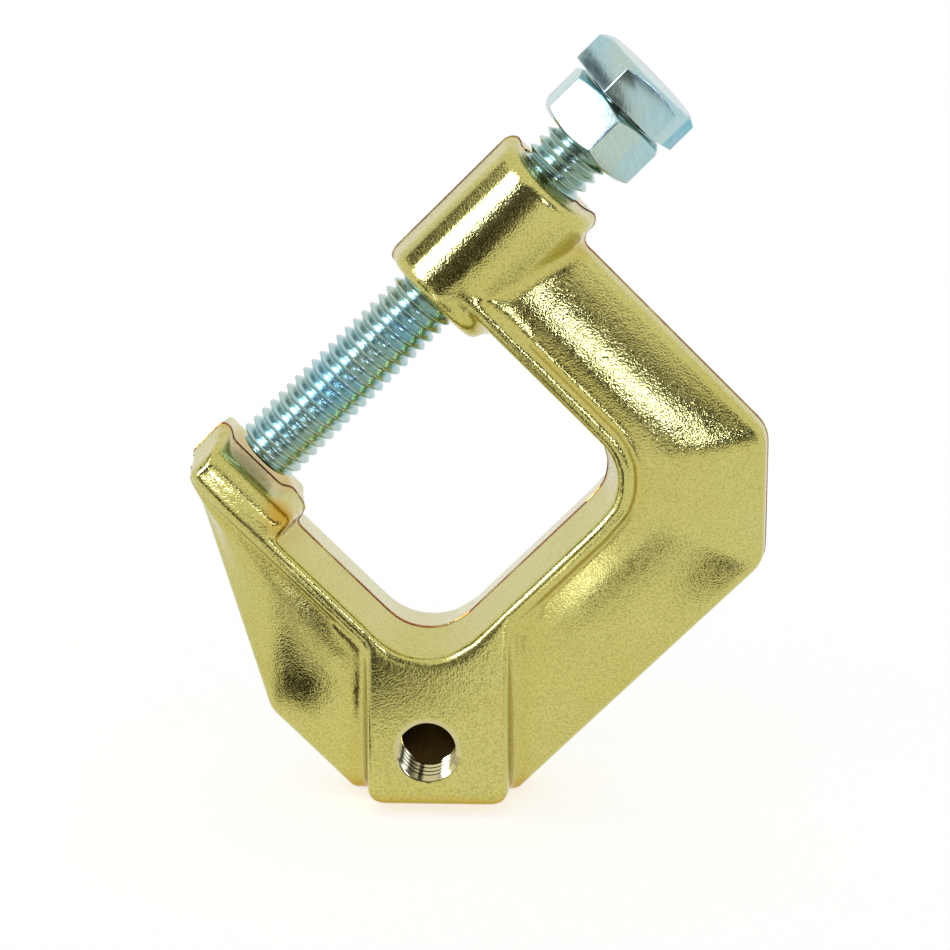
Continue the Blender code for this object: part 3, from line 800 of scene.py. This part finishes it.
coated(brass_frame, 38, forged_brass, cut_brass, bore_shade_brass)
cut_faces = 0
for face in brass_frame.data.polygons:
    spot = Vector(face.center)
    from_axis = (spot - ALONG * spot.dot(ALONG)).length
    from_cable = math.hypot(spot.x - HOLE.x, spot.y)
    from_tap = math.hypot(spot.x - HOLE.x, spot.z - HOLE.z)
    in_boss = from_axis < SCREW_HOLE_RADIUS + 0.03 * MM and spot.dot(ALONG) > BOSS_NEAR - 1 * MM
    in_cable = from_cable < CABLE_RADIUS + 0.03 * MM and spot.z < FLOOR + cable_tip
    in_tap = from_tap < TAP_RADIUS + 0.4 * MM and FRONT + 0.05 * MM < spot.y < 0
    # Faces in the cable bore get the dark brown brass with the painted shade.
    if in_cable:
        face.material_index = 2
    elif in_boss or in_tap:
        face.material_index = 1
    else:
        face.material_index = 0
    cut_faces += face.material_index > 0
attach(brass_frame, "frame")
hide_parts("clamp_frame")
print("the frame has", count(brass_frame), "triangles, and", cut_faces, "of its faces are cut")

# %% [markdown]
# ## The jaw screw
#
# The screw is a rolled half-inch thread with twelve turns to the inch. Its tooth has a narrow
# rounded crest, and the end is chamfered, so the last turn runs out in a thin edge. The
# hexagon head is a prism whose corners are turned down by a cone of 30 degrees.

# %% Screw
def hexagon(across_flats, low, high, turn, both_ends):
    """A hexagonal prism with its corners turned down at the top, or at both ends."""
    corner = across_flats / math.sqrt(3)
    bm = bmesh.new()
    bmesh.ops.create_cone(
        bm, cap_ends=True, segments=6, radius1=corner, radius2=corner, depth=high - low,
    )
    bmesh.ops.rotate(bm, verts=bm.verts[:], cent=(0, 0, 0), matrix=Matrix.Rotation(turn, 3, "Z"))
    bmesh.ops.translate(bm, verts=bm.verts[:], vec=(0, 0, (low + high) / 2))
    prism = as_object("hexagon", bm)
    face = across_flats / 2 * 0.94
    wide = corner + 1 * MM
    fall = (wide - face) * math.tan(math.radians(30))
    if both_ends:
        profile = [(0, low), (face, low), (wide, low + fall)]
    else:
        profile = [(0, low - fall), (wide, low - fall)]
    profile += [(wide, high - fall), (face, high), (0, high)]
    combine(prism, [as_object("cone", turned(profile))], "INTERSECT")
    return prism


screw = as_object("jaw_screw", threaded_rod(
    radius=THREAD_RADIUS, depth=THREAD_DEPTH, pitch=THREAD_PITCH, low=TIP,
    high=HEAD_UNDER - 1.5 * MM, turn_start=TURN_START, tooth=ROLLED,
))
chamfer = 1.2 * MM
wide = THREAD_RADIUS + 1 * MM
envelope = as_object("envelope", turned([
    (0, TIP), (THREAD_RADIUS - chamfer, TIP), (wide, TIP + wide - THREAD_RADIUS + chamfer),
    (wide, HEAD_UNDER), (0, HEAD_UNDER),
]))
combine(screw, [envelope], "INTERSECT")
head = hexagon(HEAD_FLATS, HEAD_UNDER, HEAD_UNDER + HEAD_HIGH, math.radians(-25.0), False)
bevelled(head, 0.2 * MM, 2, 18)
neck_radius = THREAD_RADIUS - THREAD_DEPTH + 0.1 * MM
below = HEAD_UNDER - 3 * MM
above = HEAD_UNDER + 1 * MM
neck = as_object("neck", turned([
    (0, below), (neck_radius, below), (neck_radius, above), (0, above),
], 48))
combine(screw, [neck, head], "UNION")
screw.data.transform(ON_AXIS)
bevelled(screw, 0.12 * MM, 2, 50)
coated(screw, 32, zinc_plate)
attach(screw, "screw")
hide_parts("clamp_screw")
print("the screw has", count(screw), "triangles")

# %% [markdown]
# ## The lock nut
#
# The nut has the same hexagon but its corners are turned down at both ends, and its hole has a
# countersink at each end.

# %% Nut
nut_top = NUT_UNDER + NUT_HIGH
nut = hexagon(NUT_FLATS, NUT_UNDER, nut_top, math.radians(2.5), True)
nut.name = "lock_nut_steel"
lead = 0.7 * MM
past = 1.0 * MM
mouth_radius = SCREW_HOLE_RADIUS + lead + past
hole = as_object("nut_hole", turned([
    (0, NUT_UNDER - past), (mouth_radius, NUT_UNDER - past), (SCREW_HOLE_RADIUS, NUT_UNDER + lead),
    (SCREW_HOLE_RADIUS, nut_top - lead), (mouth_radius, nut_top + past), (0, nut_top + past),
]))
combine(nut, [hole], "DIFFERENCE")
nut.data.transform(ON_AXIS)
bevelled(nut, 0.25 * MM, 3, 25)
coated(nut, 30, zinc_plate)
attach(nut, "nut")
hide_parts("lock_nut")
print("the nut has", count(nut), "triangles")
